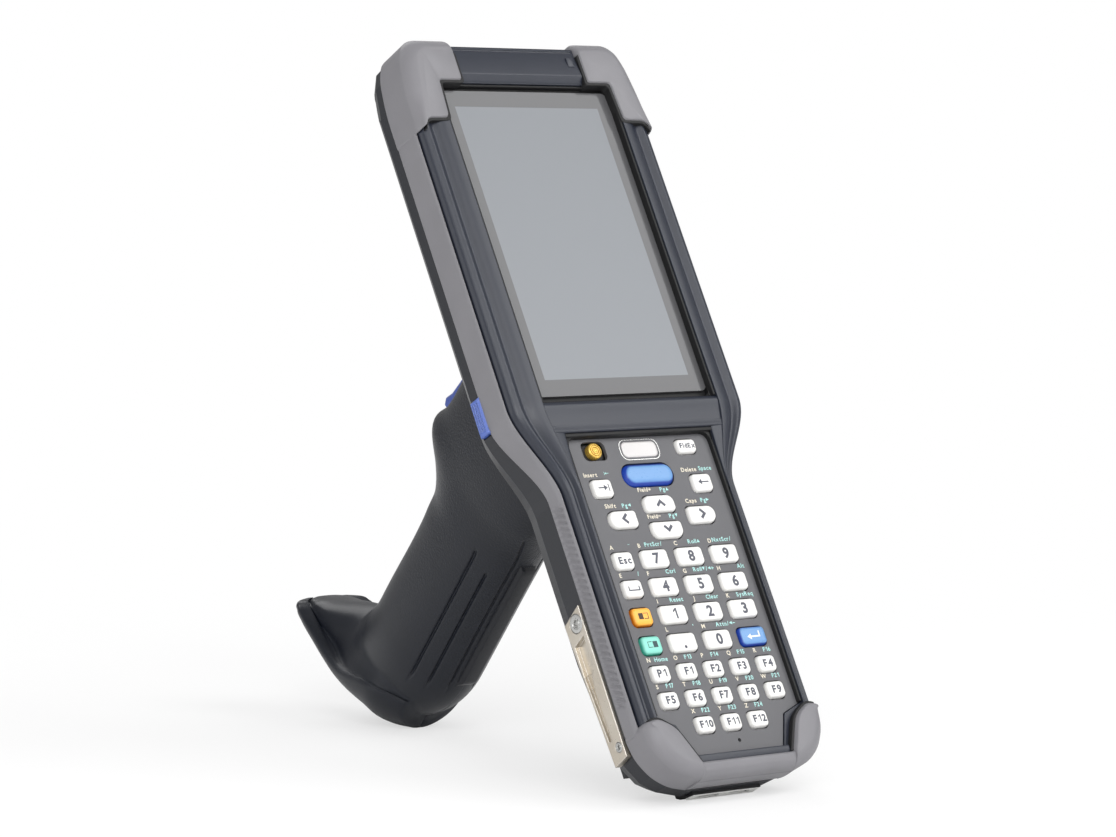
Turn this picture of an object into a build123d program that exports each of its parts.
"""Portable barcode data terminal on a pistol grip, as an assembly of separate pieces, in millimetres.

Every piece is modelled in the terminal's own frame: u (X) to the right across the screen, v (Y) along
the terminal towards its top, w (Z) out of the screen towards the user, with the origin at the centre of
the glass. The last step leans the whole assembly back until it stands on the heel of its grip and on
its dock connector, on a floor at Z = 0, with +Y behind the screen.
"""

from build123d import *
import math
import os

# ---------------------------------------------------------------- terminal outline
HIP_TOP = -51.5  # where the sides start to draw in, below the display
HIP_BOTTOM = -77.5  # where they have reached the keypad's width
TOP_END = 64.5
BOTTOM_END = -163.4
HIP_STATIONS = 9
TAPER_TOP = -120.0  # from here down the back's corners draw in
TAPER_DEEP = 1.9  # how far they have drawn in at the bottom end
UPPER_CORNER = ((6.8, 0), (3.7, 2.3), (1.5, 7.5), (0, 18.0))  # in from the side, down from the top end
LOWER_CORNER = ((0, 17.0), (0.9, 10.5), (4.3, 5.2), (9.1, 1.9), (16.5, 0))  # in from the side, up from the end

# ---------------------------------------------------------------- levels along w
FRONT_FLOOR = -2.2  # top of the front housing's floor
RIB_BASE = -4.5  # how deep the side ribs reach into it
PARTING = -7.0  # where the front and rear housings meet
BUMPER_LOW = -10.6  # rear edge of the bumper beside the display
BUMPER_LOW_KEYPAD = -8.7  # and beside the keypad
BACK = -25.0  # flat back of the rear housing
CAP_TOP = 3.5  # front of the corner caps beside the display
LOW_CAP_TOP = 2.3  # front of the corner caps beside the keypad
CAP_FLOOR = 1.2  # what the upper caps lie on
LOW_CAP_FLOOR = -0.6  # what the lower caps lie on
CAP_BEVEL = 1.3  # bevel along the caps' inner edges
CAP_INNER_U = 22.6  # inner end of the upper caps, beside the top bar
CAP_END_V = 37.5  # lower end of the upper caps
LOW_CAP_V = -144.6  # upper end of the lower caps
LOW_ROLL_V = -158.4  # front edge of the roll across the bottom
TOP_BAR_HALF_W = 22.0
TOP_BAR_TOP = 2.8
TOP_BAR_END = 2.2  # how far its upper edge stays below the top end
TOP_BAR_GROOVE = (19.0, 3.8, 4.6, 2.3)  # half length, its two edges below the top end, and its floor

# ---------------------------------------------------------------- walls and fits
SCREEN_FRAME = 10.7  # width of the frame on each side of the display's pocket
KEYPAD_FRAME = 5.1  # width of the frame on each side of the keypad's recess
BUMPER_WALL = 2.35
BUMPER_STEP = 0.5  # how far the bumper stands out past the rear housing
HOUSING_WALL = 2.0
FIT = 0.15  # gap round a plate that drops into a pocket
RUN = 0.3  # gap round a key or a button
PIN_PLAY = 0.06  # radial gap round the trigger's pivot
NECK_OVERLAP = 0.1  # how far the rear housing's rim is sunk into its tray, so that they are one piece
REAR_ENDS = ((PARTING + 1, BUMPER_STEP), (-14.5, 0.9), (-20.0, 3.9), (BACK - 0.1, 7.9))  # w and inset

# ---------------------------------------------------------------- display
LCD_W = 55.6
LCD_H = 92.0
LCD_THICK = 3.5
GLASS_SIDE = 3.5  # how far the glass reaches past the display module on each side
GLASS_W = LCD_W + 2 * GLASS_SIDE
GLASS_V_TOP = LCD_H / 2 + 2.4
GLASS_V_BOTTOM = -GLASS_V_TOP
GLASS_THICK = 1.1
GLASS_CORNER = 2.5
GLASS_GAP = 0.3  # between the glass and the sides of its pocket
POCKET_HALF_W = GLASS_W / 2 + GLASS_GAP
POCKET_TOP = GLASS_V_TOP + 2.0
POCKET_BOTTOM = GLASS_V_BOTTOM - 2.4
SCREEN_HALF_W = POCKET_HALF_W + SCREEN_FRAME  # half the width beside the display
WIDE = SCREEN_HALF_W + 15  # beyond every side, for cutting shapes

# ---------------------------------------------------------------- rows of keys
NUMBER_KEY = (9.4, 5.6)
SIDE_KEY = (6.8, 5.4)
FUNCTION_KEY = (6.4, 5.0)
COLUMN_PITCH = 12.6
SIDE_PITCH = 11.2  # from the column of small keys to the first number
FUNCTION_PITCH = 9.55
FUNCTION_LONGEST = 5  # keys in the longest function row
NUMBER_ROW_W = SIDE_KEY[0] / 2 + SIDE_PITCH + 2 * COLUMN_PITCH + NUMBER_KEY[0] / 2
NUMBER_ROW_SHIFT = -0.15  # the number rows lie this far right of the middle
FIRST_COLUMN = NUMBER_ROW_SHIFT - NUMBER_ROW_W / 2 + SIDE_KEY[0] / 2
NUMBER_COLUMNS = (FIRST_COLUMN,) + tuple(FIRST_COLUMN + SIDE_PITCH + i * COLUMN_PITCH for i in range(3))
FUNCTION_ROW_W = (FUNCTION_LONGEST - 1) * FUNCTION_PITCH + FUNCTION_KEY[0]
KEYS_HALF_W = max(NUMBER_ROW_W / 2 - NUMBER_ROW_SHIFT, FUNCTION_ROW_W / 2)
KEY_MARGIN = 4.0  # from the widest row to the side of the recess

# ---------------------------------------------------------------- keypad recess
RECESS_HALF_W = KEYS_HALF_W + KEY_MARGIN
KEYPAD_HALF_W = RECESS_HALF_W + KEYPAD_FRAME  # half the width beside the keypad
RECESS_TOP = -60.3
RECESS_BOTTOM = -156.2
RECESS_STEP_V = -144.2  # where the lower corners are cut off
RECESS_STEP_IN_U = RECESS_HALF_W - 6.8
RECESS_STEP_IN_V = -146.8
RECESS_LOW_HALF_W = RECESS_HALF_W - 10.8
PANEL_TOP = -1.0
PANEL_THICK = 1.2
WINDOW_MARGIN = 2.4  # ledge that carries the keypad panel
WINDOW_TOP = -62.0  # the ledge is narrow above the top row of keys
MAT_SHEET = 1.0
MAT_RIB = 0.9  # thickness of the ribs along the mat's sides
MAT_RIB_LOW_V = -135.0
MAT_PAD_GAP = 0.1  # what is left between a pressed key and its pad
BOARD_THICK = 1.6
BOARD_SCREEN_HALF_W = SCREEN_HALF_W - 6.3
BOARD_KEYPAD_HALF_W = KEYPAD_HALF_W - 5.9
BOARD_TOP = 55.0
BOARD_BOTTOM = -154.0

# ---------------------------------------------------------------- keys
KEY_TOP = 0.2
KEY_BOTTOM = -4.6
KEY_TRAVEL = 0.9
KEY_CROWN = 0.8  # rounding of a key's top edge
NUMBER_ROWS = (-98.4, -106.8, -115.1, -123.5)
FUNCTION_ROWS = (-131.9, -139.7, -147.6)
KEY_CORNER = 1.4
POWER_BUTTON_R = 2.5
POWER_BUTTON_TOP = 0.3
POWER_BUTTON_EDGE = 0.4
POWER_BASE_SUNK = 0.9  # how far its base lies below the panel's face
LENS_SIZE = (12.6, 4.8)
LENS_V = -65.2
LENS_PROUD = 0.25
LENS_FLANGE = 0.8  # width and thickness of the tabs behind the panel
MIC_PLACE = (1.0, -152.9)
MIC_R = 0.55

# ---------------------------------------------------------------- side buttons and rails
BUTTON_V = -48.5
BUTTON_LENGTH = 10.8
BUTTON_TOP = -10.0
BUTTON_HEIGHT = 4.2
BUTTON_PROUD = 0.6  # how far it stands out past the bumper's side
BUTTON_TRAVEL = 0.8
BUTTON_FLANGE = 0.8
BUTTON_FLANGE_THICK = 1.2
RAIL_TOP_V = -106.6
RAIL_BOTTOM_V = -151.0
RAIL_FRONT = -9.8
RAIL_BACK = -17.8  # rear edge at the rail's upper end
RAIL_BACK_LOW = -15.7  # rear edge at its lower end
RAIL_THICK = 1.9
RAIL_PROUD = 0.2
RAIL_POCKET = ((-114.8, -11.4), (-116.4, -16.4), (-125.0, -16.4), (-125.0, -11.4))  # v and w
RAIL_POCKET_DEPTH = 1.4
RAIL_GROOVE = ((-125.0, -12.2), (-129.5, -13.9), (-145.0, -13.4), (-145.0, -15.0), (-125.0, -16.4))
RAIL_GROOVE_DEPTH = 1.1
SCREW_HEADS = ((-110.8, -12.9, 2.8), (-147.6, -11.8, 1.5))  # v, w and head radius
SCREW_HEAD_DEPTH = 0.9
SCREW_SHANK_SHARE = 0.5

# ---------------------------------------------------------------- scanner and battery
HUMP_HALF_W = 17.0
HUMP_LOW_V = 12.0
HUMP_DEPTH = 10.5
SCAN_WINDOW = (24.0, 9.0)
SCAN_WINDOW_W = -17.5
SCAN_WINDOW_THICK = 1.6
SCAN_WINDOW_IN = 5.2  # how far its face lies behind the top end
ENGINE = (21.0, 13.0, 8.0)
ENGINE_W = -16.5
BATTERY_HALF_W = 22.5
BATTERY_TOP_V = -84.0
BATTERY_BOTTOM_V = -152.5
BATTERY_INNER = -12.5
BATTERY_PROUD = 1.8
BATTERY_EDGE = 2.0

# ---------------------------------------------------------------- dock connector
DOCK_HALF_W = 12.2
DOCK_FRONT = -11.4
DOCK_CORNER_V = -162.4
DOCK_CORNER_W = -18.6
DOCK_PROUD = 0.2
DOCK_LAND = 0.5  # depth of the flat on its corner, which stands on the floor
DOCK_INNER_V = -156.5
DOCK_SLOT = (18.0, 2.6, 3.0)

# ---------------------------------------------------------------- grip: t runs forward, s down the grip
GRIP_V = -56.3
GRIP_W = -76.0
GRIP_RAKE = 22.3  # degrees between the grip's axis and the terminal's back normal
RAKE = math.radians(GRIP_RAKE)
GRIP_HALF_W = 15.5
GRIP_FRONT = 21.0
GRIP_BACK = -21.0
NECK_FRONT = 30.0
SHOULDER_FRONT = 33.5
SHOULDER_S = -15.0
GRIP_START_S = -3.0
ROOT_S = -78.0
HEEL_S = 74.5  # sole of the heel
HEEL_ROUND = 22.0
HEEL_STEPS = 8
HEEL_LAST_TURN = 80.0
HEEL_FULLNESS = 0.75  # under 1 keeps the heel broad towards its sole
HEEL_LAND = 0.7  # depth of the flat it stands on
TOE_REACH = 46.6
TOE_HALF_W = 15.0
TOE_POINTS = 20
TOE_LEDGE = 1.2  # how far the flange stands out past the dome
GRIP_WALL = 2.4
ROOM_U = 4 * GRIP_HALF_W  # half the width of the blocks that cut the grip
ROOM_V = 3 * BOTTOM_END / 2, TOP_END  # their extent along v
ROOM_W = 3 * (GRIP_W - HEEL_S)  # and how far back they reach
CAVITY_END_S = 62.0
SPINE_WIDTH = 6.0
SPINE_TOP_S = -5.0
SPINE_BOTTOM_S = 44.0
SPINE_PROUD = 0.8
SPINE_DEPTH = 1.6

# ---------------------------------------------------------------- trigger
PIVOT_T = 24.0
PIVOT_S = -42.0
TRIGGER_HALF_W = 6.8
TRIGGER_TIP_S = -21.4
LEDGE_S = -19.2  # top of the shoulder, below the trigger
TRIGGER_POCKET_TOP_S = -48.5
TRIGGER_POCKET_BACK_T = 14.0
POCKET_WALL = 1.6
POCKET_HALF = TRIGGER_HALF_W + RUN + 0.2  # half the pocket's width
TRUNNION_R = 2.0
TRUNNION_LENGTH = 4.0
BOSS_R = 4.2
HUB_R = 4.6
SWITCH = (9.0, 3.6, 6.0)
SWITCH_S = -29.0


# ================================================================ laws of the terminal's shape
def mix(a, b, share):
    """The value share of the way from a to b."""
    return a + (b - a) * share


def hip(v):
    """0 beside the display, 1 beside the keypad, and a smooth S between them."""
    x = min(1.0, max(0.0, (HIP_TOP - v) / (HIP_TOP - HIP_BOTTOM)))
    return x * x * (3 - 2 * x)


def half_width(v):
    """Half the terminal's width at v."""
    return mix(SCREEN_HALF_W, KEYPAD_HALF_W, hip(v))


def bumper_low(v):
    """The bumper's rear edge at v."""
    return mix(BUMPER_LOW, BUMPER_LOW_KEYPAD, hip(v))


def stations(top, bottom):
    """Places along v at which a section is drawn, close together through the hips."""
    inner = [HIP_TOP + (HIP_BOTTOM - HIP_TOP) * i / (HIP_STATIONS - 1) for i in range(HIP_STATIONS)]
    inner.append(TAPER_TOP)
    return [top] + [v for v in inner if bottom < v < top] + [bottom]


def run_along(section, top, bottom):
    """The solid that joins the section, a function from v to (u, w) points, from top to bottom."""
    faces = [
        make_face(Polyline(*[(u, v, w) for u, w in section(v)], close=True))
        for v in stations(top, bottom)
    ]
    return loft(faces, ruled=True)


def both_sides(points):
    """A right-hand outline that starts and ends on the middle line, with its mirror image."""
    return points + [(-u, w) for u, w in reversed(points) if u > 0]


def across(points):
    """A plan outline's right half, mirrored over the middle line and closed."""
    return points + [(-u, v) for u, v in reversed(points) if u > 0]


def slab(outline, low, high):
    """An outline in u and v, as a solid from low to high along w."""
    face = make_face(Polyline(*[(u, v, low) for u, v in outline], close=True))
    return extrude(face, amount=high - low, dir=(0, 0, 1))


def block(u, v, w):
    """A box between two values along each axis."""
    size = (u[1] - u[0], v[1] - v[0], w[1] - w[0])
    centre = ((u[0] + u[1]) / 2, (v[0] + v[1]) / 2, (w[0] + w[1]) / 2)
    return Pos(*centre) * Box(*size)


def mirrored(piece):
    """The piece with its mirror image over the middle plane."""
    return piece + mirror(piece, about=Plane.YZ)


# ================================================================ ends of the terminal
def envelope_outline(inset):
    """The plan of the two ends and their cut corners, drawn in by inset; wide open at the sides."""
    slant = inset * 0.6
    up_in, up_end = (slant, slant, inset, inset), (inset, inset, slant, 0)
    low_in, low_end = (inset, inset, inset, slant, slant), (0, slant, slant, inset, inset)
    upper = [
        (SCREEN_HALF_W - side - du, TOP_END - down - dv)
        for (side, down), du, dv in zip(UPPER_CORNER, up_in, up_end)
    ]
    lower = [
        (KEYPAD_HALF_W - side - du, BOTTOM_END + up + dv)
        for (side, up), du, dv in zip(LOWER_CORNER, low_in, low_end)
    ]
    opening = [(WIDE, upper[-1][1]), (WIDE, lower[0][1])]
    return across([(0, TOP_END - inset)] + upper + opening + lower + [(0, BOTTOM_END + inset)])


def envelope(levels):
    """The space between the terminal's ends: levels is a list of (w, inset), joined in order."""
    faces = [
        make_face(Polyline(*[(u, v, w) for u, v in envelope_outline(inset)], close=True))
        for w, inset in levels
    ]
    return loft(faces, ruled=True)


# ================================================================ front half
def seam(v):
    """Where the front housing's side rib meets the bumper: (u, w)."""
    share = hip(v)
    return half_width(v) - mix(0.5, 1.0, share), mix(-0.5, -2.6, share)


def rib_section(v):
    """The raised rib along the right edge: two ridges with a valley between them."""
    share = hip(v)
    w_out = half_width(v)
    inner = mix(POCKET_HALF_W, RECESS_HALF_W, share)
    seam_u, seam_w = seam(v)
    return [
        (inner, RIB_BASE),
        (inner, mix(2.6, 0.9, share)),
        (mix(w_out - 9.6, inner + 0.5, share), mix(3.0, 1.2, share)),
        (w_out - mix(6.6, 4.3, share), mix(2.6, 1.0, share)),
        (w_out - mix(4.6, 3.3, share), mix(1.2, -0.1, share)),
        (w_out - mix(3.0, 2.6, share), mix(2.0, -0.2, share)),
        (w_out - mix(1.5, 1.7, share), mix(1.5, -1.2, share)),
        (seam_u, seam_w),
        (w_out - BUMPER_WALL, seam_w - 0.8),
        (w_out - BUMPER_WALL, RIB_BASE),
    ]


def recess_outline(grow, top):
    """The keypad recess in plan up to top, its lower corners cut off for the bumper's caps."""
    return across(
        [
            (0, top),
            (RECESS_HALF_W + grow, top),
            (RECESS_HALF_W + grow, RECESS_STEP_V - grow),
            (RECESS_STEP_IN_U + grow, RECESS_STEP_IN_V - grow),
            (RECESS_LOW_HALF_W + grow, RECESS_BOTTOM - grow),
            (0, RECESS_BOTTOM - grow),
        ]
    )


def upper_cap_zone(inset):
    """The right upper cap in plan, open outwards, its inner edges moved out by inset."""
    return [
        (CAP_INNER_U + inset, TOP_END + 5),
        (CAP_INNER_U + inset, POCKET_TOP - 0.6 + inset),
        (POCKET_HALF_W - 1.0 + inset, POCKET_TOP - 0.6 + inset),
        (POCKET_HALF_W - 0.2 + inset, CAP_END_V + inset / 2),
        (SCREEN_HALF_W - 2.8, CAP_END_V - 0.5 + inset / 2),
        (SCREEN_HALF_W + 0.2, CAP_END_V - 4.0 + inset / 2),
        (WIDE, CAP_END_V - 4.0 + inset / 2),
        (WIDE, TOP_END + 5),
    ]


def lower_cap_zone(inset):
    """The two lower caps and the roll that joins them, in plan, its inner edges moved out by inset."""
    lip = 1.1 + inset
    return across(
        [
            (0, LOW_ROLL_V - inset),
            (RECESS_LOW_HALF_W + lip, LOW_ROLL_V - inset),
            (RECESS_STEP_IN_U + lip + 0.6, RECESS_STEP_IN_V - lip),
            (RECESS_HALF_W + lip * 0.4, LOW_CAP_V - inset / 2),
            (KEYPAD_HALF_W - 1.0, LOW_CAP_V - 1.2 - inset / 2),
            (WIDE, LOW_CAP_V - 1.2 - inset / 2),
            (WIDE, BOTTOM_END - 5),
            (0, BOTTOM_END - 5),
        ]
    )


def bevelled_zone(zone, top):
    """A cap's zone as a solid up to top, its inner edges bevelled just under it."""
    levels = ((BUMPER_LOW, 0), (top - CAP_BEVEL, 0), (top + 0.1, CAP_BEVEL + 0.1))
    faces = [make_face(Polyline(*[(u, v, w) for u, v in zone(inset)], close=True)) for w, inset in levels]
    return loft(faces, ruled=True)


def core_block(top, bottom, high):
    """The front housing's full width from its parting plane up to high."""

    def section(v):
        edge = half_width(v) - BUMPER_WALL
        return both_sides([(0, PARTING), (edge, PARTING), (edge, high), (0, high)])

    return run_along(section, top, bottom)


def make_front_housing():
    """Floor, ribs, top bar, bridge and lower lip, with the display pocket and the keypad recess."""
    ends = envelope([(PARTING - 1, BUMPER_WALL), (CAP_TOP + 2, BUMPER_WALL)])
    body = core_block(TOP_END, BOTTOM_END, FRONT_FLOOR)
    body += core_block(TOP_END, CAP_END_V, CAP_FLOOR)
    body += core_block(LOW_CAP_V, BOTTOM_END, LOW_CAP_FLOOR)
    body += mirrored(run_along(rib_section, CAP_END_V - 0.3, LOW_CAP_V + 0.3))
    bar = block((-TOP_BAR_HALF_W, TOP_BAR_HALF_W), (POCKET_TOP, TOP_END - TOP_BAR_END), (FRONT_FLOOR, TOP_BAR_TOP))
    groove_half, groove_high, groove_low, groove_floor = TOP_BAR_GROOVE
    bar -= block((-groove_half, groove_half), (TOP_END - groove_low, TOP_END - groove_high), (groove_floor, CAP_TOP))
    bridge_profile = Polyline(
        (0, POCKET_BOTTOM, FRONT_FLOOR),
        (0, POCKET_BOTTOM, 1.3),
        (0, POCKET_BOTTOM - 1.2, 2.4),
        (0, POCKET_BOTTOM - 5.0, 1.9),
        (0, RECESS_TOP + 2.0, 1.6),
        (0, RECESS_TOP, 1.9),
        (0, RECESS_TOP, FRONT_FLOOR),
        close=True,
    )
    bridge = extrude(make_face(bridge_profile), amount=POCKET_HALF_W, dir=(1, 0, 0))
    bridge = mirrored(bridge)
    hip_fill = run_along(
        lambda v: [
            (RECESS_HALF_W, FRONT_FLOOR),
            (RECESS_HALF_W, mix(1.9, 0.9, hip(v))),
            (mix(POCKET_HALF_W, RECESS_HALF_W, hip(v)) + 0.6, mix(2.4, 1.0, hip(v))),
            (mix(POCKET_HALF_W, RECESS_HALF_W, hip(v)) + 0.6, FRONT_FLOOR),
        ],
        RECESS_TOP + 2.0,
        HIP_BOTTOM,
    )
    body += bridge + mirrored(hip_fill)
    lip = block((-RECESS_LOW_HALF_W - 1, RECESS_LOW_HALF_W + 1), (LOW_ROLL_V, RECESS_BOTTOM), (PARTING, 0.6))
    body = (body + lip) & ends
    body += bar
    display_frame = block(
        (-POCKET_HALF_W, POCKET_HALF_W), (POCKET_BOTTOM, POCKET_TOP), (FRONT_FLOOR, -GLASS_THICK)
    )
    body += display_frame
    body -= block((-POCKET_HALF_W, POCKET_HALF_W), (POCKET_BOTTOM, POCKET_TOP), (-GLASS_THICK, CAP_TOP + 2))
    lcd = (LCD_W / 2 + FIT, LCD_H / 2 + FIT)
    body -= block((-lcd[0], lcd[0]), (-lcd[1], lcd[1]), (PARTING - 1, CAP_TOP))
    body -= slab(recess_outline(0, RECESS_TOP), FRONT_FLOOR, CAP_TOP + 2)
    body -= keypad_window(0, PARTING - 1, FRONT_FLOOR)
    return body


def keypad_window(inset, low, high):
    """The opening in the front housing's floor for the keypad mat, drawn in by inset."""
    return slab(recess_outline(-WINDOW_MARGIN - inset, WINDOW_TOP - inset), low, high)


def bumper_side_section(v):
    """The bumper's right side wall, from the seam with the rib to its rear edge."""
    w_out = half_width(v)
    seam_u, seam_w = seam(v)
    return [
        (seam_u, seam_w),
        (w_out, seam_w - 1.3),
        (w_out, bumper_low(v)),
        (w_out - BUMPER_WALL, bumper_low(v)),
        (w_out - BUMPER_WALL, seam_w - 0.8),
    ]


def cap_section(top, round_off):
    """The full outer section of the bumper under a cap, with its front edges cut by round_off."""

    def section(v):
        w_out = half_width(v)
        return both_sides(
            [
                (0, bumper_low(v)),
                (w_out, bumper_low(v)),
                (w_out, top - round_off),
                (w_out - round_off * 0.3, top - round_off * 0.3),
                (w_out - round_off, top),
                (0, top),
            ]
        )

    return section


def make_bumper():
    """The soft surround: two side walls, four corner caps and the roll across the bottom."""
    ends = envelope([(BUMPER_LOW - 1, 0), (0.6, 0), (2.6, 0.7), (CAP_TOP + 0.1, 2.0)])
    low_ends = envelope([(BUMPER_LOW - 1, 0.5), (-4.0, 0), (-2.0, 0), (0.6, 1.0), (LOW_CAP_TOP + 0.1, 3.0)])
    sides = mirrored(run_along(bumper_side_section, CAP_END_V, LOW_CAP_V - 2.5))
    upper = run_along(cap_section(CAP_TOP, 2.6), TOP_END, CAP_END_V - 4.0) & ends
    upper &= mirrored(bevelled_zone(upper_cap_zone, CAP_TOP))
    upper -= inner_void(TOP_END, CAP_END_V - 5.0, CAP_FLOOR)
    upper -= mirrored(run_along(rib_section, CAP_END_V, CAP_END_V - 6.0))
    lower = run_along(cap_section(LOW_CAP_TOP, 4.5), LOW_CAP_V + 0.1, BOTTOM_END) & low_ends
    lower &= bevelled_zone(lower_cap_zone, LOW_CAP_TOP)
    lower -= inner_void(LOW_CAP_V + 1, BOTTOM_END, LOW_CAP_FLOOR)
    return sides + upper + lower - mirrored(button_room())


def inner_void(top, bottom, high):
    """What the bumper goes round: the housings' width inside its wall, up to high."""

    def section(v):
        edge = half_width(v) - BUMPER_WALL
        return both_sides([(0, BUMPER_LOW - 1), (edge, BUMPER_LOW - 1), (edge, high), (0, high)])

    return run_along(section, top, bottom) & envelope([(BUMPER_LOW - 2, BUMPER_WALL), (CAP_TOP + 2, BUMPER_WALL)])


# ================================================================ rear half
def rear_outline(v, wall):
    """Right half of the rear housing's section below the bumper, drawn in by wall."""
    share = hip(v)
    w_out = half_width(v) - BUMPER_STEP - wall
    drawn = TAPER_DEEP * max(0.0, (TAPER_TOP - v) / (TAPER_TOP - BOTTOM_END))
    lift = wall * 0.6 + drawn
    return [
        (w_out, mix(-14.5, -16.0, share)),
        (w_out - mix(3.3, 1.7, share) - drawn, mix(-19.0, -20.5, share) + lift),
        (w_out - mix(7.8, 5.0, share) - drawn, mix(-22.5, -23.8, share) + lift),
        (w_out - mix(13.0, 8.5, share) - drawn, BACK + wall),
        (0, BACK + wall),
    ]


def rear_neck(inset):
    """The rear housing's narrow rim, which stands inside the bumper, drawn in by inset."""
    edge = BUMPER_WALL + FIT + inset

    def section(v):
        u, low = half_width(v) - edge, bumper_low(v) - inset - NECK_OVERLAP
        return both_sides([(0, PARTING + inset), (u, PARTING + inset), (u, low), (0, low)])

    return run_along(section, TOP_END, BOTTOM_END) & envelope([(PARTING + 3, edge), (BUMPER_LOW - 3, edge)])


def rear_tray(inset):
    """The rear housing's full width behind the bumper, drawn in by inset."""

    def section(v):
        edge, high = half_width(v) - BUMPER_STEP - inset, bumper_low(v) - inset
        return both_sides([(0, high), (edge, high)] + rear_outline(v, inset))

    ends = [(w, end + inset * 1.2) for w, end in REAR_ENDS]
    return run_along(section, TOP_END, BOTTOM_END) & envelope(ends)


def make_rear_housing():
    """The deep back tray: walls, scanner hump, battery bay, and the openings in its walls."""
    tray = rear_tray(0)
    body = tray + rear_neck(0)
    hollow = rear_tray(HOUSING_WALL) + rear_neck(HOUSING_WALL)
    hump = make_hump(0)
    hollow += make_hump(HOUSING_WALL)
    body = body + hump - hollow
    margin = FIT + HOUSING_WALL
    bay_solid = block(
        (-BATTERY_HALF_W - margin, BATTERY_HALF_W + margin),
        (BATTERY_BOTTOM_V - margin, BATTERY_TOP_V + margin),
        (BACK, BATTERY_INNER + margin),
    )
    body += bay_solid & tray
    body -= block(
        (-BATTERY_HALF_W - FIT, BATTERY_HALF_W + FIT),
        (BATTERY_BOTTOM_V - FIT, BATTERY_TOP_V + FIT),
        (BACK - 5, BATTERY_INNER),
    )
    for side in (-1, 1):
        seat_low, seat_high = KEYPAD_HALF_W + RAIL_PROUD - RAIL_THICK, KEYPAD_HALF_W + 2
        seat = sorted((side * (seat_low - HOUSING_WALL), side * (KEYPAD_HALF_W - 0.6)))
        pad = block(seat, (RAIL_BOTTOM_V - 1.5, RAIL_TOP_V + 1.5), (RAIL_BACK + 1.5, RAIL_FRONT))
        body += pad & tray
        cut = sorted((side * seat_low, side * seat_high))
        body -= rail_blank(cut, FIT)
    body -= mirrored(button_room())
    body -= block((-DOCK_HALF_W, DOCK_HALF_W), (BOTTOM_END - 2, DOCK_INNER_V), (DOCK_CORNER_W, DOCK_FRONT))
    window = (SCAN_WINDOW[0] / 2, SCAN_WINDOW[1] / 2)
    body -= block(
        (-window[0], window[0]),
        (TOP_END - 9, TOP_END + 2),
        (SCAN_WINDOW_W - window[1], SCAN_WINDOW_W + window[1]),
    )
    for v, w, radius in SCREW_HEADS:
        body -= mirrored(screw(v, w, radius))
    return body


def make_hump(inset):
    """The bulge on the back that gives the scanner its room; inset makes its hollow."""
    top = TOP_END - 6.5 - inset
    base = [
        (HUMP_HALF_W + 3 - inset, HUMP_LOW_V - 3 + inset, top, BACK + 3 + inset),
        (HUMP_HALF_W - inset, HUMP_LOW_V + inset, top - 1.0, BACK - HUMP_DEPTH * 0.7 + inset),
        (HUMP_HALF_W - 4 - inset * 0.6, HUMP_LOW_V + 4 + inset * 0.6, top - 4.0, BACK - HUMP_DEPTH + inset),
    ]
    faces = [
        make_face(Polyline((-u, low, w), (u, low, w), (u, high, w), (-u, high, w), close=True))
        for u, low, high, w in base
    ]
    return loft(faces, ruled=True)


def rail_blank(u_span, grow):
    """The outline of a side rail, its ends slanted, over u_span and enlarged by grow."""
    points = [
        (RAIL_TOP_V + grow, RAIL_FRONT + grow),
        (RAIL_TOP_V - 3.0 + grow, RAIL_BACK - grow),
        (RAIL_BOTTOM_V - 1.0 - grow, RAIL_BACK_LOW - grow),
        (RAIL_BOTTOM_V - grow, RAIL_FRONT + grow),
    ]
    face = make_face(Polyline(*[(u_span[0], v, w) for v, w in points], close=True))
    return extrude(face, amount=u_span[1] - u_span[0], dir=(1, 0, 0))


def screw(v, w, radius, play=0.0):
    """A countersunk rail screw on the right side: its head in the rail, its shank in the housing."""
    outer = KEYPAD_HALF_W + RAIL_PROUD
    shank = radius * SCREW_SHANK_SHARE
    head = Pos(outer - SCREW_HEAD_DEPTH / 2, v, w) * Rot(0, 90, 0) * Cylinder(radius + play, SCREW_HEAD_DEPTH)
    length = RAIL_THICK + HOUSING_WALL - SCREW_HEAD_DEPTH
    rod = Pos(outer - SCREW_HEAD_DEPTH - length / 2, v, w) * Rot(0, 90, 0) * Cylinder(shank + play, length)
    return head + rod


def make_side_rails():
    """A die-cast rail in each side of the rear housing, with its pocket and its long groove."""
    outer = KEYPAD_HALF_W + RAIL_PROUD
    rail = rail_blank((outer - RAIL_THICK, outer), 0)
    for points, depth in ((RAIL_POCKET, RAIL_POCKET_DEPTH), (RAIL_GROOVE, RAIL_GROOVE_DEPTH)):
        face = make_face(Polyline(*[(outer - depth, v, w) for v, w in points], close=True))
        rail -= extrude(face, amount=2 * depth, dir=(1, 0, 0))
    for v, w, radius in SCREW_HEADS:
        rail -= screw(v, w, radius)
    return mirrored(rail)


def make_battery():
    """The battery pack in its bay, its outer face standing a little proud of the back."""
    pack = block(
        (-BATTERY_HALF_W, BATTERY_HALF_W), (BATTERY_BOTTOM_V, BATTERY_TOP_V), (BACK - BATTERY_PROUD, BATTERY_INNER)
    )
    outer_edges = pack.faces().sort_by(Axis.Z)[0].edges()
    return chamfer(outer_edges, BATTERY_EDGE)


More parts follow.
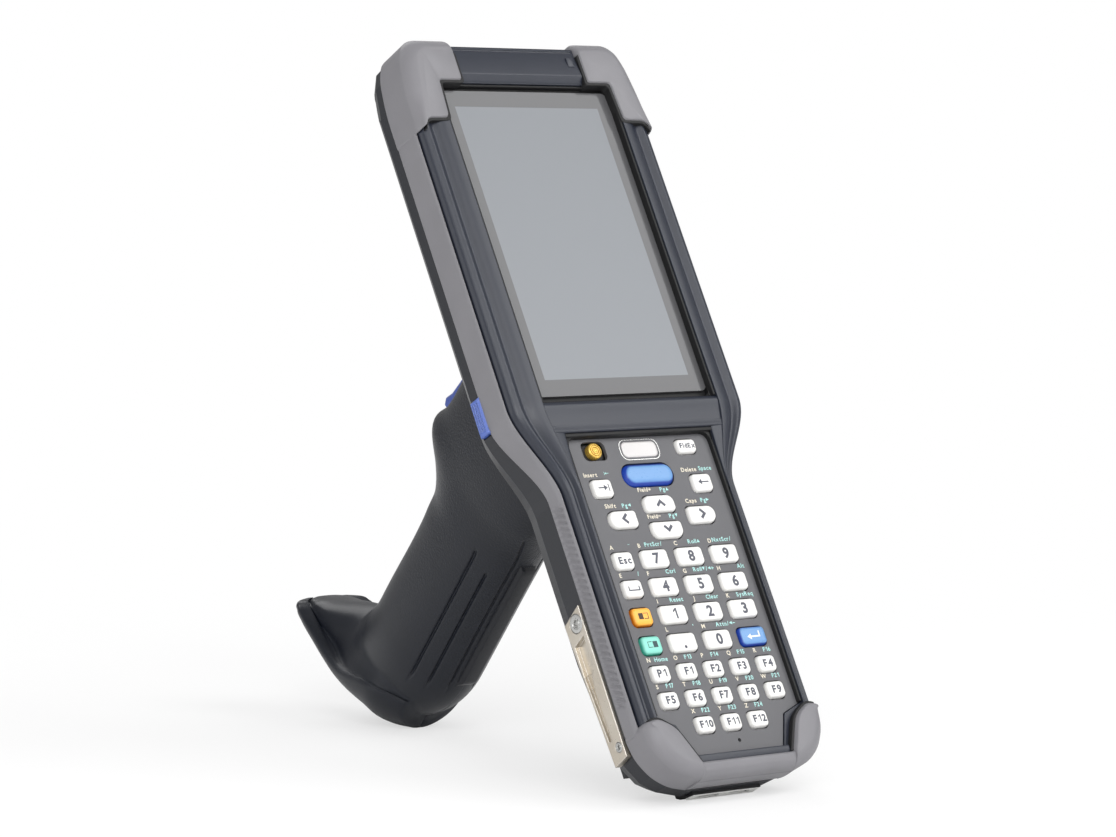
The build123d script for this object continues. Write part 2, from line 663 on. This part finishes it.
def make_dock_connector():
    """The dock connector in the bottom end: a block with a contact slot, cut where it meets the floor."""
    profile = Polyline(
        (-DOCK_HALF_W, DOCK_INNER_V, DOCK_FRONT),
        (-DOCK_HALF_W, BOTTOM_END - DOCK_PROUD, DOCK_FRONT),
        (-DOCK_HALF_W, BOTTOM_END - DOCK_PROUD + 0.4, DOCK_FRONT - 3.6),
        (-DOCK_HALF_W, DOCK_CORNER_V, DOCK_CORNER_W),
        (-DOCK_HALF_W, DOCK_INNER_V, DOCK_CORNER_W),
        close=True,
    )
    body = extrude(make_face(profile), amount=2 * DOCK_HALF_W, dir=(1, 0, 0))
    width, height, depth = DOCK_SLOT
    slot_w = (DOCK_FRONT + DOCK_CORNER_W) / 2 + 0.6
    body -= block(
        (-width / 2, width / 2), (BOTTOM_END - 3, BOTTOM_END + depth), (slot_w - height / 2, slot_w + height / 2)
    )
    return body


# ================================================================ display and boards
def rounded_plate(width, low, high, corner, w_low, w_high):
    """A plate with rounded corners, between two values of v and of w."""
    face = RectangleRounded(width, high - low, corner)
    return Pos(0, (low + high) / 2, w_low) * extrude(face, amount=w_high - w_low)


def make_touch_glass():
    return rounded_plate(GLASS_W, GLASS_V_BOTTOM, GLASS_V_TOP, GLASS_CORNER, -GLASS_THICK, 0)


def make_lcd_module():
    return block((-LCD_W / 2, LCD_W / 2), (-LCD_H / 2, LCD_H / 2), (-GLASS_THICK - LCD_THICK, -GLASS_THICK))


def make_main_board():
    """The circuit board, one wide part behind the display and one narrow part behind the keys."""
    outline = across(
        [
            (0, BOARD_TOP),
            (BOARD_SCREEN_HALF_W, BOARD_TOP),
            (BOARD_SCREEN_HALF_W, HIP_TOP),
            (BOARD_KEYPAD_HALF_W, HIP_BOTTOM + 6),
            (BOARD_KEYPAD_HALF_W, BOARD_BOTTOM + 12),
            (BOARD_KEYPAD_HALF_W - 7, BOARD_BOTTOM),
            (0, BOARD_BOTTOM),
        ]
    )
    return slab(outline, PARTING - BOARD_THICK, PARTING)


def make_scan_window():
    """The clear window that the scanner looks through, let into the top end."""
    window = (SCAN_WINDOW[0] / 2, SCAN_WINDOW[1] / 2)
    outer = TOP_END - SCAN_WINDOW_IN
    return block(
        (-window[0], window[0]),
        (outer - SCAN_WINDOW_THICK, outer),
        (SCAN_WINDOW_W - window[1], SCAN_WINDOW_W + window[1]),
    )


def make_scan_engine():
    """The scanner behind its window."""
    width, length, height = ENGINE
    face_v = TOP_END - SCAN_WINDOW_IN - SCAN_WINDOW_THICK
    return block(
        (-width / 2, width / 2),
        (face_v - length, face_v),
        (ENGINE_W - height / 2, ENGINE_W + height / 2),
    )


# ================================================================ keypad
def key_table():
    """Every key: name, (u, v), (width, height) and its four corner radii, clockwise from the upper left."""
    corner = (KEY_CORNER,) * 4
    keys = [
        ("key_field", (16.6, -65.2), (7.0, 4.4), corner),
        ("key_scan", (0.0, -73.1), (18.0, 6.8), (3.3,) * 4),
        ("key_tab", (-18.0, -76.6), (7.0, 5.6), corner),
        ("key_backspace", (18.0, -76.6), (7.0, 5.6), corner),
        ("key_up", (0.1, -82.1), (11.0, 5.2), (2.5, 2.5, 1.3, 1.3)),
        ("key_left", (-14.3, -86.2), (9.8, 5.4), (2.6, 1.3, 1.3, 2.6)),
        ("key_right", (14.1, -86.2), (9.8, 5.4), (1.3, 2.6, 2.6, 1.3)),
        ("key_down", (0.0, -90.1), (11.0, 5.2), (1.3, 1.3, 2.5, 2.5)),
    ]
    number_names = (
        ("escape", "7", "8", "9"),
        ("space", "4", "5", "6"),
        ("orange", "1", "2", "3"),
        ("green", "point", "0", "enter"),
    )
    for names, v in zip(number_names, NUMBER_ROWS):
        for name, u in zip(names, NUMBER_COLUMNS):
            size = SIDE_KEY if u == NUMBER_COLUMNS[0] else NUMBER_KEY
            keys.append(("key_" + name, (u, v), size, corner))
    function_names = (("p1", "f1", "f2", "f3", "f4"), ("f5", "f6", "f7", "f8", "f9"), ("f10", "f11", "f12"))
    for names, v in zip(function_names, FUNCTION_ROWS):
        first = -FUNCTION_PITCH * (len(names) - 1) / 2
        for i, name in enumerate(names):
            keys.append(("key_" + name, (first + i * FUNCTION_PITCH, v), FUNCTION_KEY, corner))
    return keys


def power_base_row():
    """The power button's base, in the form of a row of the key table."""
    return "key_power", (-16.2, -65.1), (7.8, 5.2), (KEY_CORNER,) * 4


def key_face(place, size, corners, grow=0.0):
    """A key's outline at w = 0, enlarged by grow."""
    u, v = place
    half_u, half_v = size[0] / 2 + grow, size[1] / 2 + grow
    points = [(u - half_u, v + half_v), (u + half_u, v + half_v), (u + half_u, v - half_v), (u - half_u, v - half_v)]
    radii = [r + grow for r in corners]
    return make_face(FilletPolyline(*points, radius=radii, close=True))


def make_key(place, size, corners):
    """A key cap with a softly rounded top edge."""
    cap = Pos(0, 0, KEY_BOTTOM) * extrude(key_face(place, size, corners), amount=KEY_TOP - KEY_BOTTOM)
    return fillet(cap.faces().sort_by(Axis.Z)[-1].edges(), KEY_CROWN)


def make_power_button():
    """The round power button on its square base."""
    _, place, size, corners = power_base_row()
    low = PANEL_TOP - POWER_BASE_SUNK
    base = Pos(0, 0, KEY_BOTTOM) * extrude(key_face(place, size, corners), amount=low - KEY_BOTTOM)
    stem = Pos(*place, (low + POWER_BUTTON_TOP) / 2) * Cylinder(POWER_BUTTON_R, POWER_BUTTON_TOP - low)
    return base + fillet(stem.faces().sort_by(Axis.Z)[-1].edges(), POWER_BUTTON_EDGE)


def make_keypad_panel():
    """The plate round the keys, with a hole for each, the lens and the microphone."""
    panel = slab(recess_outline(-FIT, RECESS_TOP - FIT), PANEL_TOP - PANEL_THICK, PANEL_TOP)
    rows = key_table() + [power_base_row()]
    cuts = [key_face(place, size, corners, RUN) for _, place, size, corners in rows]
    cuts.append(key_face((0, LENS_V), LENS_SIZE, (KEY_CORNER,) * 4))
    for face in cuts:
        panel -= Pos(0, 0, PANEL_TOP - PANEL_THICK - 1) * extrude(face, amount=PANEL_THICK + 2)
    panel -= Pos(*MIC_PLACE, PANEL_TOP) * Cylinder(MIC_R, 2 * PANEL_THICK + 1)
    return panel


def make_status_lens():
    """The pale window of the status lamp, set flush in the panel with a flange behind it."""
    face = key_face((0, LENS_V), LENS_SIZE, (KEY_CORNER,) * 4)
    lens = Pos(0, 0, PANEL_TOP - PANEL_THICK) * extrude(face, amount=PANEL_THICK + LENS_PROUD)
    flange = key_face((0, LENS_V), (LENS_SIZE[0] + 2 * LENS_FLANGE, LENS_SIZE[1]), (KEY_CORNER,) * 4)
    lens += Pos(0, 0, PANEL_TOP - PANEL_THICK - LENS_FLANGE) * extrude(flange, amount=LENS_FLANGE)
    return lens


def make_keypad_mat():
    """The rubber mat on the board: a sheet with a pad under each key and a rib along each side."""
    mat = keypad_window(FIT, PARTING, PARTING + MAT_SHEET)
    edge = RECESS_HALF_W - WINDOW_MARGIN - FIT
    rib = block((edge - MAT_RIB, edge), (MAT_RIB_LOW_V, RECESS_TOP - WINDOW_MARGIN), (PARTING, FRONT_FLOOR))
    mat += mirrored(rib)
    pad_top = KEY_BOTTOM - KEY_TRAVEL - MAT_PAD_GAP
    for _, place, size, corners in key_table() + [power_base_row()]:
        pad = key_face(place, size, corners, -RUN)
        mat += Pos(0, 0, PARTING + MAT_SHEET) * extrude(pad, amount=pad_top - PARTING - MAT_SHEET)
    return mat


# ================================================================ side buttons
def button_spans(grow):
    """The side buttons' extent along v and along w, enlarged by grow."""
    v_span = (BUTTON_V - BUTTON_LENGTH / 2 - grow, BUTTON_V + BUTTON_LENGTH / 2 + grow)
    return v_span, (BUTTON_TOP - BUTTON_HEIGHT - grow, BUTTON_TOP + grow)


def button_flange():
    """Inner and outer face of the flange that keeps a side button from falling out."""
    narrowest = half_width(BUTTON_V - BUTTON_LENGTH / 2 - BUTTON_FLANGE) - BUMPER_STEP
    outer = narrowest - HOUSING_WALL - RUN
    return outer - BUTTON_FLANGE_THICK, outer


def button_room():
    """The room the right side button moves in: its hole in the wall, and its flange's behind it."""
    v_span, w_span = button_spans(RUN)
    inner, outer = button_flange()
    hole = block((outer, half_width(BUTTON_V) + 3), v_span, w_span)
    flange_v = (v_span[0] - BUTTON_FLANGE, v_span[1] + BUTTON_FLANGE)
    return hole + block((inner - BUTTON_TRAVEL - RUN, outer + RUN), flange_v, w_span)


def make_side_button():
    """The ribbed button under the bumper's right side, with a flange behind the housing's wall."""
    v_span, w_span = button_spans(0)
    outer = half_width(BUTTON_V) + BUTTON_PROUD
    flange_in, flange_out = button_flange()
    body = block((flange_in, outer), v_span, w_span)
    body = chamfer(body.faces().sort_by(Axis.X)[-1].edges(), 0.5)
    for i in range(3):
        w = BUTTON_TOP - BUTTON_HEIGHT * (i + 1) / 4
        body -= block((outer - 0.3, outer + 1), (v_span[0] + 1.2, v_span[1] - 1.2), (w - 0.25, w + 0.25))
    body += block((flange_in, flange_out), (v_span[0] - BUTTON_FLANGE, v_span[1] + BUTTON_FLANGE), w_span)
    return body


# ================================================================ grip
DOWN = Vector(0, -math.sin(RAKE), -math.cos(RAKE))  # s: along the grip, away from the terminal
FORWARD = Vector(0, math.cos(RAKE), -math.sin(RAKE))  # t: towards the trigger side
GRIP_ORIGIN = Vector(0, GRIP_V, GRIP_W)
SIDE_PLANE = Plane(origin=GRIP_ORIGIN, x_dir=FORWARD, z_dir=(-1, 0, 0))


def at(t, s, u=0.0):
    """The point t forward and s down the grip, u to the right."""
    return GRIP_ORIGIN + FORWARD * t + DOWN * s + Vector(u, 0, 0)


def grip_oval(s, front, back, half):
    """An oval across the grip at s, from back to front, half wide each way."""
    centre = at((front + back) / 2, s)
    plane = Plane(origin=centre, x_dir=(1, 0, 0), z_dir=DOWN)
    return plane * Ellipse(half, (front - back) / 2)


def side_slab(points, half):
    """A side profile of (t, s) points, extruded half to each side of the middle plane."""
    face = make_face(SIDE_PLANE * Polyline(*points, close=True))
    return extrude(face, amount=half, both=True)


def grip_column(inset):
    """The neck, shoulder, handle and rounded heel as one run of ovals, drawn in by inset."""
    half = GRIP_HALF_W
    heel_s, heel_t = HEEL_S - HEEL_ROUND, GRIP_BACK + HEEL_ROUND
    rows = [
        (ROOT_S, NECK_FRONT - 2, -31.0, half + 3.5),
        (-48.0, NECK_FRONT, -28.0, half + 2.0),
        (-24.0, NECK_FRONT + 1.0, -24.0, half + 1.0),
        (SHOULDER_S, SHOULDER_FRONT, -22.3, half + 0.4),
        (SHOULDER_S + 4.5, mix(SHOULDER_FRONT, GRIP_FRONT, 0.4), -21.6, half + 0.2),
        (GRIP_START_S, GRIP_FRONT + 1.2, GRIP_BACK - 0.2, half),
        (GRIP_START_S + 8, GRIP_FRONT, GRIP_BACK, half),
        (heel_s - 14, GRIP_FRONT, GRIP_BACK, half),
    ]
    for i in range(HEEL_STEPS):
        turn = math.radians(HEEL_LAST_TURN * i / (HEEL_STEPS - 1))
        reach = HEEL_ROUND * math.cos(turn)
        width = half * math.cos(turn) ** HEEL_FULLNESS
        rows.append((heel_s + HEEL_ROUND * math.sin(turn), heel_t + reach, heel_t - reach, width))
    if inset:
        rows = [row for row in rows if row[0] < CAVITY_END_S]
    ovals = [grip_oval(s, front - inset, back + inset, a - inset) for s, front, back, a in rows]
    return loft(ovals, ruled=True)


def toe_rows():
    """Sections across the toe: t, crest, widest level and bottom along s, and half width there."""
    return (
        (3.0, 50.0, 62.0, 74.0, TOE_HALF_W - 2.5),
        (8.0, 47.0, 66.0, 74.3, TOE_HALF_W - 1.0),
        (14.0, 48.5, 68.9, HEEL_S, TOE_HALF_W - 0.2),
        (22.0, 53.0, 69.8, HEEL_S, TOE_HALF_W),
        (30.0, 58.4, 69.6, HEEL_S, TOE_HALF_W - 0.5),
        (TOE_REACH - 8.6, 64.4, 69.6, HEEL_S - 0.1, TOE_HALF_W - 1.4),
        (TOE_REACH - 4.1, 67.6, 70.2, HEEL_S - 0.3, TOE_HALF_W - 2.6),
        (TOE_REACH - 1.3, 69.6, 70.8, HEEL_S - 0.7, TOE_HALF_W - 5.4),
        (TOE_REACH, 70.6, 71.4, HEEL_S - 1.3, TOE_HALF_W - 10.0),
    )


def toe():
    """The toe of the heel: a dome on a flange with a rounded lower edge, from the handle forwards."""
    faces = []
    for t, crest, widest, bottom, half in toe_rows():
        points = []
        for i in range(TOE_POINTS):
            turn = math.radians(360 * i / TOE_POINTS)
            down = math.sin(turn)
            reach = half if down > -0.01 else half - TOE_LEDGE
            drop = bottom - widest if down > 0 else widest - crest
            points.append(at(t, widest + drop * down, reach * math.cos(turn)))
        faces.append(make_face(Polyline(*points, close=True)))
    return loft(faces, ruled=True)


def grip_solid():
    """The whole grip before it is hollowed and split."""
    body = grip_column(0) + toe()
    body &= block((-ROOM_U, ROOM_U), ROOM_V, (ROOM_W, BACK))
    return body


def floor_line():
    """The floor in the terminal's frame: the angle of its upward normal from v towards w, and its offset.

    The floor touches the flat on the heel's round and the cut corner of the dock connector.
    """
    centre = at(GRIP_BACK + HEEL_ROUND, HEEL_S - HEEL_ROUND)
    below_heel = HEEL_ROUND - HEEL_LAND
    below_dock = -DOCK_LAND
    dv, dw = centre.Y - DOCK_CORNER_V, centre.Z - DOCK_CORNER_W
    angle = math.atan2(dw, dv) + math.acos((below_heel - below_dock) / math.hypot(dv, dw))
    offset = DOCK_CORNER_V * math.cos(angle) + DOCK_CORNER_W * math.sin(angle) - below_dock
    return angle, offset


FLOOR_ANGLE, FLOOR_OFFSET = floor_line()


def below_floor():
    """Everything under the floor, as a block in the terminal's frame."""
    normal = Vector(0, math.cos(FLOOR_ANGLE), math.sin(FLOOR_ANGLE))
    plane = Plane(origin=normal * FLOOR_OFFSET, x_dir=(1, 0, 0), z_dir=normal)
    depth = 2 * GRIP_HALF_W
    return plane * Pos(0, 0, -depth / 2) * Box(2 * ROOM_U, -2 * ROOM_W, depth)


def trigger_pocket():
    """The slot in the neck that the trigger swings in."""
    back, far, top = TRIGGER_POCKET_BACK_T, NECK_FRONT + 30, TRIGGER_POCKET_TOP_S
    points = [(back, top), (far, top), (far, LEDGE_S), (back, LEDGE_S)]
    return side_slab(points, POCKET_HALF)


def make_grip_halves():
    """The two shells of the grip, with the trigger's pocket, its pivot bosses and the spine's seat."""
    outer = grip_solid()
    cavity = grip_column(GRIP_WALL)
    cavity &= block((-ROOM_U, ROOM_U), ROOM_V, (ROOM_W, BACK - GRIP_WALL))
    body = outer - cavity
    back, far = TRIGGER_POCKET_BACK_T - POCKET_WALL, NECK_FRONT + 30
    top, bottom = TRIGGER_POCKET_TOP_S - POCKET_WALL, LEDGE_S + POCKET_WALL
    liner = side_slab([(back, top), (far, top), (far, bottom), (back, bottom)], POCKET_HALF + POCKET_WALL) & outer
    boss_plane = Plane(origin=at(PIVOT_T, PIVOT_S), x_dir=(0, 1, 0), z_dir=(1, 0, 0))
    bosses = extrude(boss_plane * Circle(BOSS_R), amount=GRIP_HALF_W, both=True) & outer
    body = body + liner + bosses - trigger_pocket()
    reach = POCKET_HALF + TRUNNION_LENGTH
    body -= extrude(boss_plane * Circle(TRUNNION_R + PIN_PLAY), amount=reach, both=True)
    body -= spine_blank()
    body -= below_floor()
    left = body & block((-ROOM_U, 0), ROOM_V, (ROOM_W, 0))
    right = body & block((0, ROOM_U), ROOM_V, (ROOM_W, 0))
    return left, right


def spine_blank():
    """The narrow strip down the back of the handle."""
    inner, outer = GRIP_BACK + SPINE_DEPTH, GRIP_BACK - SPINE_PROUD
    points = [
        (inner, SPINE_TOP_S),
        (outer + 0.5, SPINE_TOP_S),
        (outer, SPINE_TOP_S + 2.0),
        (outer, SPINE_BOTTOM_S - 2.0),
        (outer + 0.5, SPINE_BOTTOM_S),
        (inner, SPINE_BOTTOM_S),
    ]
    return side_slab(points, SPINE_WIDTH / 2)


def make_trigger():
    """The trigger: a hub on two trunnions and a curved lever that the finger draws back."""
    lever = side_slab(
        [
            (PIVOT_T + 3.0, PIVOT_S - 2.0),
            (PIVOT_T + 7.2, PIVOT_S + 4.5),
            (PIVOT_T + 8.0, PIVOT_S + 11.0),
            (PIVOT_T + 8.8, PIVOT_S + 16.0),
            (PIVOT_T + 10.2, TRIGGER_TIP_S - 1.5),
            (PIVOT_T + 9.6, TRIGGER_TIP_S),
            (PIVOT_T + 1.5, TRIGGER_TIP_S - 0.6),
            (PIVOT_T - 1.5, PIVOT_S + 8.0),
            (PIVOT_T - 3.5, PIVOT_S + 1.0),
        ],
        TRIGGER_HALF_W,
    )
    lever = fillet(lever.edges().filter_by(GeomType.LINE).filter_by(lambda e: is_front_edge(e)), 2.2)
    plane = Plane(origin=at(PIVOT_T, PIVOT_S), x_dir=(0, 1, 0), z_dir=(1, 0, 0))
    hub = extrude(plane * Circle(HUB_R), amount=TRIGGER_HALF_W, both=True)
    trunnions = extrude(plane * Circle(TRUNNION_R), amount=TRIGGER_HALF_W + TRUNNION_LENGTH, both=True)
    return lever + hub + trunnions


def is_front_edge(edge):
    """Whether an edge of the lever is one of the long front ones that the finger feels."""
    ends = [edge.position_at(0), edge.position_at(1)]
    fronts = [(p - GRIP_ORIGIN).dot(FORWARD) for p in ends]
    level = abs(abs(ends[0].X) - TRIGGER_HALF_W) < 0.01 and abs(ends[0].X - ends[1].X) < 0.01
    return level and min(fronts) > PIVOT_T + 7.0


def make_trigger_switch():
    """The switch behind the trigger, on the back wall of its pocket."""
    width, depth, height = SWITCH
    points = [
        (TRIGGER_POCKET_BACK_T, SWITCH_S - height / 2),
        (TRIGGER_POCKET_BACK_T + depth, SWITCH_S - height / 2),
        (TRIGGER_POCKET_BACK_T + depth, SWITCH_S + height / 2),
        (TRIGGER_POCKET_BACK_T, SWITCH_S + height / 2),
    ]
    return side_slab(points, width / 2)


# ================================================================ the assembly
def make_all():
    """Every piece by its node's name, in the terminal's frame."""
    pieces = {
        "front_housing": make_front_housing(),
        "rear_housing": make_rear_housing(),
        "bumper": make_bumper(),
        "touch_glass": make_touch_glass(),
        "lcd_module": make_lcd_module(),
        "keypad_panel": make_keypad_panel(),
        "keypad_mat": make_keypad_mat(),
        "status_lens": make_status_lens(),
        "main_board": make_main_board(),
        "scan_window": make_scan_window(),
        "scan_engine": make_scan_engine(),
        "battery_pack": make_battery(),
        "dock_connector": make_dock_connector() - below_floor(),
        "side_rails": make_side_rails(),
        "rail_screws": mirrored(sum((screw(v, w, r) for v, w, r in SCREW_HEADS), Part())),
        "key_power": make_power_button(),
    }
    for name, place, size, corners in key_table():
        pieces[name] = make_key(place, size, corners)
    button = make_side_button()
    pieces["side_button_right"] = button
    pieces["side_button_left"] = mirror(button, about=Plane.YZ)
    pieces["grip_left"], pieces["grip_right"] = make_grip_halves()
    pieces["grip_spine"] = spine_blank()
    pieces["trigger"] = make_trigger()
    pieces["trigger_switch"] = make_trigger_switch()
    return pieces


def stand_up(pieces):
    """Leans the assembly back onto the floor and centres it over the origin."""
    lean = Rot(90 - math.degrees(FLOOR_ANGLE), 0, 0)
    leaned = {name: lean * piece for name, piece in pieces.items()}
    boxes = [piece.bounding_box() for piece in leaned.values()]
    low_y = min(box.min.Y for box in boxes)
    high_y = max(box.max.Y for box in boxes)
    place = Pos(0, -(low_y + high_y) / 2, -FLOOR_OFFSET)
    return {name: place * piece for name, piece in leaned.items()}, -(low_y + high_y) / 2


if __name__ == "__main__":
    os.makedirs("parts", exist_ok=True)
    standing, shift = stand_up(make_all())
    for name, piece in standing.items():
        export_step(piece, "parts/" + name + ".step")
    print("lean", round(90 - math.degrees(FLOOR_ANGLE), 3), "shift", round(shift, 3), "rise", round(-FLOOR_OFFSET, 3))
